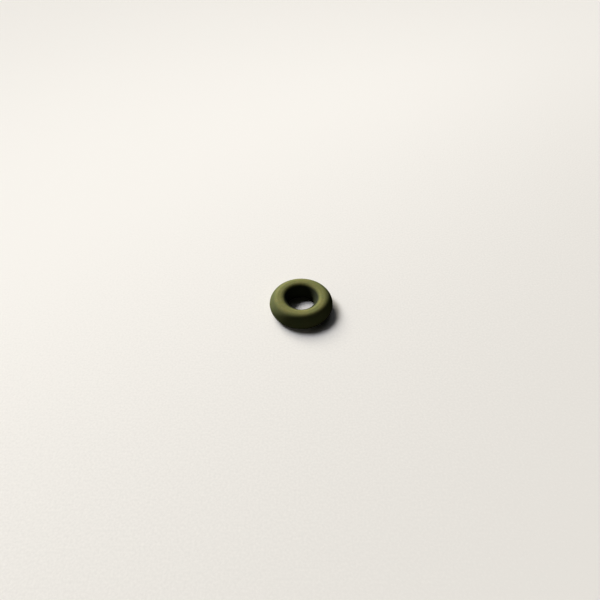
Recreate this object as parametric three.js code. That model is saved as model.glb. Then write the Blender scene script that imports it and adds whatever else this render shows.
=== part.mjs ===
// A rubber o-ring: a fat sealing ring of round section, moulded in one piece.
//
// It lies flat, as it does on a bench. The ring's axis is +Z, the origin is on that axis at the
// underside, and all sizes are millimetres. Nothing in it moves and nothing is fitted to it, so
// the whole object is one solid of revolution.

import * as THREE from "three";

// Driving dimensions.
const INSIDE_DIAMETER = 4.0; // the hole at its narrowest, which grips the shaft or the groove's floor
const SECTION_DIAMETER = 3.0; // thickness of the rubber that the ring is made of
const SIDE_LAND = 0.5; // width of the narrow flat on each side, where soft rubber meets a hard face

// Fineness of the faceted solid.
const STEPS_ROUND_RING = 80;
const STEPS_HALF_SECTION = 16; // even, so that a corner lies where the ring is widest and the hole narrowest

// Sizes that follow from the driving ones.
const sectionRadius = SECTION_DIAMETER / 2;
const sectionCentreRadius = INSIDE_DIAMETER / 2 + sectionRadius; // ring's axis to the section's centre
const landAngle = Math.asin(SIDE_LAND / 2 / sectionRadius); // half the angle that a land takes off the circle
const midHeight = sectionRadius * Math.cos(landAngle); // height of the section's centre over the lower land

const olive = new THREE.MeshStandardMaterial({
  color: new THREE.Color(0.2, 0.205, 0.09),
  roughness: 0.8,
  metalness: 0.0,
});

// The section, as a closed outline in the plane (distance from the axis, height). The outer side is
// one arc from the lower land round to the upper one, and the inner side is the same arc mirrored.
function sectionOutline() {
  const reach = Math.PI / 2 - landAngle; // the arc stops short of straight up and straight down
  const arc = new THREE.EllipseCurve(
    sectionCentreRadius, midHeight, sectionRadius, sectionRadius, -reach, reach,
  );
  const outerSide = arc.getPoints(STEPS_HALF_SECTION);
  const innerSide = outerSide.map((p) => new THREE.Vector2(2 * sectionCentreRadius - p.x, p.y));
  return [...outerSide, ...innerSide.reverse(), outerSide[0].clone()];
}

// LatheGeometry turns the outline about its own Y, which is then stood up as the part's Z.
function ringGeometry() {
  const turned = new THREE.LatheGeometry(sectionOutline(), STEPS_ROUND_RING);
  turned.rotateX(Math.PI / 2);
  return turned;
}

const ring = new THREE.Mesh(ringGeometry(), olive);
ring.name = "o_ring";

const part = new THREE.Group();
part.add(ring);

export default part;
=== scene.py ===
# %% [markdown]
# # A rubber o-ring on white paper
#
# This lesson dresses one small moulded part. The CAD model gives the true size and place of the
# ring. This script builds a finer copy of it with a rubber finish, and then a sheet of paper under
# it, the lamps and the camera. Everything is in metres and in the CAD model's own frame: the
# ring's axis is +Z, and the ring lies on z = 0.

import math

import bmesh
import bpy
from mathutils import Matrix, Vector


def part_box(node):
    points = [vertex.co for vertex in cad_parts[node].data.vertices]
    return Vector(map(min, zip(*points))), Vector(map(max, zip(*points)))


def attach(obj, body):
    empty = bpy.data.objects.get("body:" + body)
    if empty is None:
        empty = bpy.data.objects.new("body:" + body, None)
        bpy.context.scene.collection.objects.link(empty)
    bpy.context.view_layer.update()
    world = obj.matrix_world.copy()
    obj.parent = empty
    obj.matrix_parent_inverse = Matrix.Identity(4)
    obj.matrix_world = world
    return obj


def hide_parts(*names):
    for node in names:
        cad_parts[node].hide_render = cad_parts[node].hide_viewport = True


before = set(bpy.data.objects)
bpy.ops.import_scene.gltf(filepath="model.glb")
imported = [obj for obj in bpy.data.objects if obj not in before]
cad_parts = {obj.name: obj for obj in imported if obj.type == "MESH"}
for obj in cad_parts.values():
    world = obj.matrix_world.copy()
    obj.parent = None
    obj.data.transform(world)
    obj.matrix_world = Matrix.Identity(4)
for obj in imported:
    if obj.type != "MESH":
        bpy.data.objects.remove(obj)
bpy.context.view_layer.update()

# %% [markdown]
# ## The sizes of the ring
#
# An o-ring is described by two numbers, the hole and the thickness of the rubber. The CAD ring's
# box gives its outside diameter and its height. A soft ring that lies on a hard face has a narrow
# flat where it touches, so the height is a little less than the thickness, and the radius of the
# section follows by Pythagoras from the height and the width of that flat.

# %% The sizes of the ring
MM = 0.001  # one millimetre, in metres
SIDE_LAND = 0.5 * MM  # width of the flat on the upper and the lower side

ring_low, ring_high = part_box("o_ring")
outside_diameter = ring_high.x - ring_low.x
height = ring_high.z - ring_low.z
mid_height = (ring_low.z + ring_high.z) / 2
section_radius = math.hypot(height / 2, SIDE_LAND / 2)
centre_radius = outside_diameter / 2 - section_radius
print(f"outside {outside_diameter / MM:.2f} mm, height {height / MM:.3f} mm")
print(f"section radius {section_radius / MM:.3f} mm on a circle of {centre_radius / MM:.3f} mm")

# %% [markdown]
# ## The outline of the section
#
# A real o-ring is moulded between two halves of a steel mould, which meet at the mid-height of the
# ring. Its section is a circle with two flats, and with a faint raised line inside and outside,
# where the halves met. Blender's ready torus has neither, so a circle is drawn instead, and its
# points are nudged into that outline. The line is hardly wider than the gap between evenly spaced
# points, so the points are first drawn together there.

# %% The outline of the section
STEPS_OF_SECTION = 120
PARTING_HEIGHT = 0.014 * MM  # how far the moulding line stands out of the rubber
PARTING_WIDTH = 0.12 * MM
CROWDING = 0.6  # how far the points are drawn together at the moulding line, 0 is evenly spaced


def shape_of_section(point):
    """The real outline for a point of the plain circle, which is centred on the origin."""
    even_turn = math.atan2(point.z, point.x)
    turn = even_turn - CROWDING / 2 * math.sin(2 * even_turn)
    along = section_radius * math.cos(turn)
    up = section_radius * math.sin(turn)
    line = PARTING_HEIGHT * math.exp(-((up / (PARTING_WIDTH / 2)) ** 2))
    tall = max(-height / 2, min(height / 2, up))
    return Vector((along + math.copysign(line, along), 0, tall))


ring_shape = bmesh.new()
upright = Matrix.Rotation(math.pi / 2, 4, "X")
bmesh.ops.create_circle(
    ring_shape, segments=STEPS_OF_SECTION, radius=section_radius, matrix=upright,
)
for vert in ring_shape.verts:
    vert.co = shape_of_section(vert.co) + Vector((centre_radius, 0, mid_height))
print("points of the section:", len(ring_shape.verts))

# %% [markdown]
# ## The section swept round
#
# The steel mould was turned on a lathe, and Blender's spin does the same: it carries the section
# once round the axis and joins the last step to the first. A curve with a bevel could also make a
# ring, but its section would have to be a second curve. Spin may leave the faces pointing inwards,
# so the normals are worked out again, after any doubled points at the seam are merged.

# %% The section swept round
STEPS_OF_TURN = 400
SAME_POINT = section_radius / 1000  # points nearer to each other than this are merged


def put_in_scene(name, data):
    """A new object that holds a mesh, a lamp or a camera, and is part of the scene."""
    thing = bpy.data.objects.new(name, data)
    bpy.context.scene.collection.objects.link(thing)
    return thing


def as_object(name, shape):
    """Turns a bmesh into a smooth-shaded object whose place is in its mesh."""
    mesh = bpy.data.meshes.new(name)
    shape.to_mesh(mesh)
    shape.free()
    mesh.polygons.foreach_set("use_smooth", [True] * len(mesh.polygons))
    return put_in_scene(name, mesh)


bmesh.ops.spin(
    ring_shape, geom=ring_shape.verts[:] + ring_shape.edges[:], cent=(0, 0, 0), axis=(0, 0, 1),
    angle=2 * math.pi, steps=STEPS_OF_TURN, use_merge=True, use_normal_flip=False,
)
bmesh.ops.remove_doubles(ring_shape, verts=ring_shape.verts, dist=SAME_POINT)
bmesh.ops.recalc_face_normals(ring_shape, faces=ring_shape.faces)
rubber_ring = as_object("rubber_ring", ring_shape)
ring_mesh = rubber_ring.data
print("rubber ring:", len(ring_mesh.vertices), "points,", len(ring_mesh.polygons), "faces")

# %% [markdown]
# ## Small helpers for materials
#
# A material is a little graph of nodes. Four helpers keep the lessons below short. One starts a
# material with an empty graph, one gives an input a value or joins another node to it, one adds a
# node with its inputs, and one writes a colour as the four numbers that Blender wants.

# %% Small helpers for materials
def new_material(name):
    """A new material, and its graph with no nodes in it yet."""
    material = bpy.data.materials.new(name)
    material.use_nodes = True
    material.node_tree.nodes.clear()
    return material, material.node_tree


def set_or_join(graph, socket, value):
    """Gives an input a plain value, or joins another node's output to it."""
    if isinstance(value, bpy.types.NodeSocket):
        graph.links.new(value, socket)
    else:
        socket.default_value = value


def add(graph, kind, settings=None, **inputs):
    """A node of that kind. Inputs are given by name, with _ for a space, as values or as sockets."""
    node = graph.nodes.new("ShaderNode" + kind)
    for name, value in (settings or {}).items():
        setattr(node, name, value)
    for name, value in inputs.items():
        set_or_join(graph, node.inputs[name.replace("_", " ")], value)
    return node


def colour(red, green, blue):
    """A solid colour as four numbers."""
    return (red, green, blue, 1.0)


rubber, rubber_graph = new_material("olive_rubber")
print("new material:", rubber.name)

# %% [markdown]
# ## Where a point lies on the ring
#
# The rubber changes tone from the crown to the walls, where shade is painted into its colour, so its
# material must know where on the round section a point is. A picture on a UV map could tell it. Two
# measures do so without a picture: how far the point is from the ring's axis, and how high it is.
# Seen from the middle of the section they give a tilt, which is 0 on top, positive on the outer wall
# and negative on the inner wall. It comes from the object's own coordinates, so the tones stay in
# place from every side.

# %% Where a point lies on the ring
def maths(graph, operation, *values):
    """One step of arithmetic on numbers or sockets."""
    node = add(graph, "Math", {"operation": operation})
    for socket, value in zip(node.inputs, values):
        set_or_join(graph, socket, value)
    return node.outputs["Value"]


def length_of(graph, vector):
    """How far a place is from the origin of its coordinates."""
    return add(graph, "VectorMath", {"operation": "LENGTH"}, Vector=vector).outputs["Value"]


place = add(rubber_graph, "TexCoord").outputs["Object"]
parts = add(rubber_graph, "SeparateXYZ", Vector=place).outputs
flat_place = add(rubber_graph, "CombineXYZ", X=parts["X"], Y=parts["Y"]).outputs["Vector"]
outwards = maths(rubber_graph, "SUBTRACT", length_of(rubber_graph, flat_place), centre_radius)
upwards = maths(rubber_graph, "SUBTRACT", parts["Z"], mid_height)
tilt = maths(rubber_graph, "ARCTAN2", outwards, upwards)
print("nodes that find the tilt:", len(rubber_graph.nodes))

# %% [markdown]
# ## Patches, bloom and grain
#
# Moulded rubber is never of one tone. This ring has soft patches that lean to yellow, a thin, pale
# bloom as of dust and dried wax, and the fine grain that a blasted steel mould leaves. An image of
# them would show a seam where its ends meet. Noise fills space instead, so it has no seam, and
# four sizes of it give all three.

# %% Patches, bloom and grain
CLOUD_SIZE = 1.8 * MM
MOTTLE_SIZE = 0.4 * MM
DUST_SIZE = 0.15 * MM
GRAIN_SIZE = 0.08 * MM
MOTTLE_DETAIL = 5.0
DUST_DETAIL = 4.0
PLAIN_DETAIL = 2.0
CLOUD_SHARE = 0.5  # of the patches that is broad and soft, the rest is fine
PATCH_EDGE = 0.40, 0.60  # the values of the noise between which green turns to yellow
BLOOM_EDGE = 0.45, 0.70  # and those between which bare rubber turns to bloom
BLOOM_SHARE = 0.3  # of the bloom's colour where it is thickest


def noise(graph, where, patch_size, detail=PLAIN_DETAIL):
    """Soft random patches of about that size, in metres, as a value round 0.5."""
    return add(graph, "TexNoise", Vector=where, Scale=1 / patch_size, Detail=detail).outputs["Fac"]


def ramp(graph, value, low, high, low_result=0.0, high_result=1.0):
    """Goes smoothly from one result to the other while the value goes from low to high."""
    return add(
        graph, "MapRange", {"clamp": True, "interpolation_type": "SMOOTHSTEP"}, Value=value,
        From_Min=low, From_Max=high, To_Min=low_result, To_Max=high_result,
    ).outputs["Result"]


cloud = noise(rubber_graph, place, CLOUD_SIZE)
mottle = noise(rubber_graph, place, MOTTLE_SIZE, MOTTLE_DETAIL)
dust = noise(rubber_graph, place, DUST_SIZE, DUST_DETAIL)
grain = noise(rubber_graph, place, GRAIN_SIZE)
broad = maths(rubber_graph, "MULTIPLY", cloud, CLOUD_SHARE)
broad_and_fine = maths(rubber_graph, "MULTIPLY_ADD", mottle, 1 - CLOUD_SHARE, broad)
patches = ramp(rubber_graph, broad_and_fine, *PATCH_EDGE)
bloom = ramp(rubber_graph, dust, *BLOOM_EDGE, 0.0, BLOOM_SHARE)
print("nodes with the patches and the bloom:", len(rubber_graph.nodes))

# %% [markdown]
# ## The tones of the skin
#
# The crown has the rubber's own olive tone. Its outer wall is a darker, greener copy of that tone,
# which is painted shade, and its inner wall is nearly black, which is painted shade for the inside
# of the hole. Separate materials with hard borders would look painted on. So one material blends
# the tones over bands of tilt, and the mottling makes the borders of the bands a little ragged.
# Only underneath, in the middle of the flat that the ring lies on, do the tones of the two walls
# meet without a blend.

# %% The tones of the skin
CROWN_GREEN = colour(0.196, 0.208, 0.064)
CROWN_YELLOW = colour(0.244, 0.228, 0.071)
CROWN_BLOOM = colour(0.300, 0.290, 0.170)
# The outer wall's colours are darker, greener copies of the crown's: painted shade.
SHADED_OUTER_GREEN = colour(0.107, 0.123, 0.041)
SHADED_OUTER_YELLOW = colour(0.121, 0.129, 0.045)
SHADED_OUTER_BLOOM = colour(0.160, 0.165, 0.090)
# Nearly black: painted shade for the inner wall, inside the hole.
INNER_WALL_PAINTED_SHADE = colour(0.023, 0.027, 0.012)
OUTER_SHADE_FADE = math.radians(14), math.radians(42)  # the tilts between which crown turns to outer wall
INNER_SHADE_FADE = math.radians(-40), math.radians(-17)  # and those between which inner wall turns to crown
RAGGED_EDGE = math.radians(5)  # the most that the mottling moves a border, from end to end
NOISE_MIDDLE = 0.5
MIX_SHARE, MIX_FIRST, MIX_SECOND, MIX_RESULT = 0, 6, 7, 2  # the Mix node's sockets for colours


def blend_colours(graph, share, first, second):
    """A mix of two colours, given as colours or as sockets. A share of 1 is all the second."""
    node = add(graph, "Mix", {"data_type": "RGBA"})
    for socket, value in ((MIX_SHARE, share), (MIX_FIRST, first), (MIX_SECOND, second)):
        set_or_join(graph, node.inputs[socket], value)
    return node.outputs[MIX_RESULT]


def moved_by(graph, pattern, reach, value):
    """The value, which a pattern of noise moves up and down by half of the reach at most."""
    centred = maths(graph, "SUBTRACT", pattern, NOISE_MIDDLE)
    return maths(graph, "MULTIPLY_ADD", centred, reach, value)


crown = blend_colours(rubber_graph, patches, CROWN_GREEN, CROWN_YELLOW)
dusty_crown = blend_colours(rubber_graph, bloom, crown, CROWN_BLOOM)
shaded_outer = blend_colours(rubber_graph, patches, SHADED_OUTER_GREEN, SHADED_OUTER_YELLOW)
dusty_shaded_outer = blend_colours(rubber_graph, bloom, shaded_outer, SHADED_OUTER_BLOOM)
ragged_tilt = moved_by(rubber_graph, mottle, RAGGED_EDGE, tilt)
outer_shade_share = ramp(rubber_graph, ragged_tilt, *OUTER_SHADE_FADE)
out_of_inner_shade = ramp(rubber_graph, ragged_tilt, *INNER_SHADE_FADE)
# The tilt bands lay painted shade on the outer wall and on the inner wall.
crown_and_shaded_outer = blend_colours(rubber_graph, outer_shade_share, dusty_crown, dusty_shaded_outer)
# The skin is the crown's tone with the painted shade of both walls blended in.
skin = blend_colours(rubber_graph, out_of_inner_shade, INNER_WALL_PAINTED_SHADE, crown_and_shaded_outer)
print("nodes with the tones:", len(rubber_graph.nodes))

# %% [markdown]
# ## The finished rubber
#
# Dry rubber hardly shines, so the specular level is far below the usual 0.5, and the roughness is
# high. The roughness follows the mottling, because an even one looks like plastic. The grain could
# be cut into the mesh, but it is so fine that the mesh would need about a million faces, so it is
# a bump. Then the ring gets its material, and the frame is told that it replaces the CAD ring.

# %% The finished rubber
GRAIN_STRENGTH = 0.3
GRAIN_DEPTH = 0.02 * MM
SHINE = 0.06
MOTTLE_RANGE = 0.3, 0.7  # the values of the noise that give the least and the most roughness
ROUGHNESS_RANGE = 0.68, 0.86

bumps = add(rubber_graph, "Bump", Strength=GRAIN_STRENGTH, Distance=GRAIN_DEPTH, Height=grain)
rubber_shader = add(
    rubber_graph, "BsdfPrincipled", Base_Color=skin, Normal=bumps.outputs["Normal"],
    Specular_IOR_Level=SHINE, Roughness=ramp(rubber_graph, mottle, *MOTTLE_RANGE, *ROUGHNESS_RANGE),
)
add(rubber_graph, "OutputMaterial", Surface=rubber_shader.outputs["BSDF"])
ring_mesh.materials.append(rubber)
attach(rubber_ring, "root")
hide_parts("o_ring")
print("materials on the ring:", [material.name for material in ring_mesh.materials])

# %% [markdown]
# ## The tone of the paper
#
# The ring lies on a sheet of white paper. Real paper is faintly warm. The light on this sheet falls
# off from the upper left of the picture to the lower right, and that falloff is painted into the
# paper's tone, from white to a painted shade. Another lamp could do it, but a wide ramp of tone is
# simpler and leaves the shadow alone. A smooth ramp can show as bands, and a fine noise, like the
# paper's tooth, breaks it up. Far away all of the sheet fades to one tone, which a backdrop can
# match.

# %% The tone of the paper
PAPER_WHITE = colour(0.930, 0.889, 0.816)
# The duller tone is painted shade: the falloff of the light across the sheet.
PAPER_PAINTED_SHADE = colour(0.770, 0.734, 0.671)
PAPER_FAR = colour(0.850, 0.812, 0.745)
SHADE_REACH = 75 * MM  # the paper is whitest where x - y is minus this, and dullest where it is this
TOOTH_SIZE = 0.3 * MM
TOOTH_DETAIL = 5.0
TOOTH_REACH = 100 * MM  # the most that the tooth moves the change of tone, from end to end
FAR_FADE = 60 * MM, 200 * MM  # the distances between which the paper turns to its far tone

paper_finish, paper_graph = new_material("paper")
paper_place = add(paper_graph, "TexCoord").outputs["Object"]
paper_parts = add(paper_graph, "SeparateXYZ", Vector=paper_place).outputs
across = maths(paper_graph, "SUBTRACT", paper_parts["X"], paper_parts["Y"])
tooth = noise(paper_graph, paper_place, TOOTH_SIZE, TOOTH_DETAIL)
uneven = moved_by(paper_graph, tooth, TOOTH_REACH, across)
# This ramp lays the painted shade across the sheet.
shade = ramp(paper_graph, uneven, -SHADE_REACH, SHADE_REACH)
near_tone = blend_colours(paper_graph, shade, PAPER_WHITE, PAPER_PAINTED_SHADE)
far_off = ramp(paper_graph, length_of(paper_graph, paper_place), *FAR_FADE)
paper_tone = blend_colours(paper_graph, far_off, near_tone, PAPER_FAR)
print("nodes of the paper's tone:", len(paper_graph.nodes))

# %% [markdown]
# ## The sheet of paper
#
# White paper throws much light back up, and it would light the ring's walls far more than they are
# in the picture. Grey paper would not, but it would look grey. So the camera sees the paper's own
# tone, and all other rays meet a dark sheet, which still catches the ring's shadow. A grid of one
# face is enough for the sheet. It lies a hair below the ring's flat underside, because two faces
# in the same place make spots.

# %% The sheet of paper
PAPER_SIZE = 2.0
PAPER_GAP = 0.005 * MM
PAPER_FOR_BOUNCES = colour(0.05, 0.05, 0.048)

to_camera = add(paper_graph, "LightPath").outputs["Is Camera Ray"]
paper_skin = blend_colours(paper_graph, to_camera, PAPER_FOR_BOUNCES, paper_tone)
paper_shader = add(paper_graph, "BsdfDiffuse", Color=paper_skin)
add(paper_graph, "OutputMaterial", Surface=paper_shader.outputs["BSDF"])

sheet_shape = bmesh.new()
under_the_ring = Matrix.Translation((0, 0, -PAPER_GAP))
bmesh.ops.create_grid(
    sheet_shape, x_segments=1, y_segments=1, size=PAPER_SIZE / 2, matrix=under_the_ring,
)
paper = as_object("paper_sheet", sheet_shape)
paper.data.materials.append(paper_finish)
print("paper:", PAPER_SIZE, "m square")

# %% [markdown]
# ## The lamps
#
# The picture is lit from behind and from the left, as by a window: the crown is bright, the walls
# that face the camera are almost black, and a soft shadow falls towards the camera and to the
# right. Lamps near the ring could do it, but suns light all of it alike, and the width of a sun in
# the sky sets how soft its shadow is. The light on the rubber looks lower and harder than the
# paper's soft shadow does. So the ring and the paper have suns of their own, which light linking
# keeps apart.

# %% The lamps
PLAIN = (1.0, 1.0, 1.0)
WARM = (1.02, 1.0, 0.94)
COOL = (0.95, 0.99, 1.1)
RING_LAMPS = (  # name, azimuth, elevation and width in degrees, level and tint
    ("ring_window", 121, 26.5, 12, 1.57, PLAIN),
    ("ring_sill", 150, 6, 14, 0.46, PLAIN),
    ("ring_front", 262, 28, 30, 0.06, PLAIN),
)
PAPER_LAMPS = (  # the same
    ("paper_window", 130, 43, 38, 0.765, WARM),
    ("paper_beam", 160, 53, 22, 0.548, COOL),
    ("paper_sill", 190, 9, 50, 0.113, WARM),
    ("paper_back", 90, 58, 50, 0.050, COOL),
)


def sun(name, azimuth, elevation, width, level, tint, lit):
    """A distant lamp that lights one thing alone. Its azimuth runs from +X towards +Y."""
    lamp = bpy.data.lights.new(name, "SUN")
    lamp.angle = math.radians(width)
    lamp.energy = level * math.pi  # a level of 1 makes white that faces the lamp look white
    lamp.color = tint
    holder = put_in_scene(name, lamp)
    holder.rotation_euler = (0, math.pi / 2 - math.radians(elevation), math.radians(azimuth))
    group = bpy.data.collections.new(name + "_lights")
    group.objects.link(lit)
    holder.light_linking.receiver_collection = group


for lit_thing, lamps in ((rubber_ring, RING_LAMPS), (paper, PAPER_LAMPS)):
    for lamp_row in lamps:
        sun(*lamp_row, lit_thing)
print("lamps:", [lamp.name for lamp in bpy.data.lights])

# %% [markdown]
# ## The room round the sheet
#
# Past the edge of the sheet the camera would see black. A curved backdrop could hide that, but the
# world does it without a mesh: it shows the camera the very colour that the far paper has under
# its lamps, so the sheet seems to go on. To all other rays the room is almost dark, and gives only
# a faint, even light.

# %% The room round the sheet
ROOM_LIGHT = 0.005
BACKDROP_LIGHT = 1.0  # shows the backdrop's colour as it is written
SHADER_SLOTS = 1, 2  # the Mix Shader node's two inputs, which have the same name


def lit_paper(channel):
    """One channel of the far paper's colour as it looks under its lamps."""
    light = sum(
        level * math.sin(math.radians(elevation)) * tint[channel]
        for name, azimuth, elevation, width, level, tint in PAPER_LAMPS
    )
    return PAPER_FAR[channel] * light


horizon = colour(lit_paper(0), lit_paper(1), lit_paper(2))
world = bpy.data.worlds.new("room")
bpy.context.scene.world = world
world.use_nodes = True
room = world.node_tree
room.nodes.clear()
seen = add(room, "LightPath").outputs["Is Camera Ray"]
fill = add(room, "Background", Color=colour(1, 1, 1), Strength=ROOM_LIGHT)
backdrop = add(room, "Background", Color=horizon, Strength=BACKDROP_LIGHT)
either = add(room, "MixShader", Fac=seen)
for slot, background in zip(SHADER_SLOTS, (fill, backdrop)):
    room.links.new(background.outputs["Background"], either.inputs[slot])
add(room, "OutputWorld", Surface=either.outputs["Shader"])
print("backdrop:", [round(value, 3) for value in horizon])

# %% [markdown]
# ## The camera
#
# The picture looks down at the ring at about 46 degrees, from about 8 ring widths away. Both come
# from fitting the outline of the ring and of its hole in perspective. The ring is a little off the
# middle of the picture. Turning the camera could put it there, but would change the angle, so the
# lens is shifted a little instead.

# %% The camera
IMAGE_SIZE = 600  # pixels on each side of the picture
PIXELS_PER_METRE = 6280.0  # at the distance of the ring
FOCAL_PIXELS = 521.0  # the camera's distance from the ring, in pixels of that scale
CAMERA_ELEVATION = math.radians(45.73)
RING_COLUMN = 301.17  # where the ring's centre lies in the picture, from its left edge
RING_ROW = 303.03  # and from its top edge
SENSOR = 36.0  # width of the sensor in mm
CLIP_FACTOR = 100  # the camera sees things up to this many times nearer or farther than the ring

distance = FOCAL_PIXELS / PIXELS_PER_METRE
camera_data = bpy.data.cameras.new("camera")
camera_data.sensor_width = SENSOR
camera_data.lens = SENSOR * FOCAL_PIXELS / IMAGE_SIZE
camera_data.shift_x = (IMAGE_SIZE / 2 - RING_COLUMN) / IMAGE_SIZE
camera_data.shift_y = (RING_ROW - IMAGE_SIZE / 2) / IMAGE_SIZE
camera_data.clip_start = distance / CLIP_FACTOR
camera_data.clip_end = distance * CLIP_FACTOR
camera = put_in_scene("camera", camera_data)
camera.location = (
    0, -distance * math.cos(CAMERA_ELEVATION), mid_height + distance * math.sin(CAMERA_ELEVATION),
)
camera.rotation_euler = (math.pi / 2 - CAMERA_ELEVATION, 0, 0)
bpy.context.scene.camera = camera
bpy.context.scene.view_settings.view_transform = "Standard"
print(f"camera {distance / MM:.1f} mm away, lens {camera_data.lens:.2f} mm")
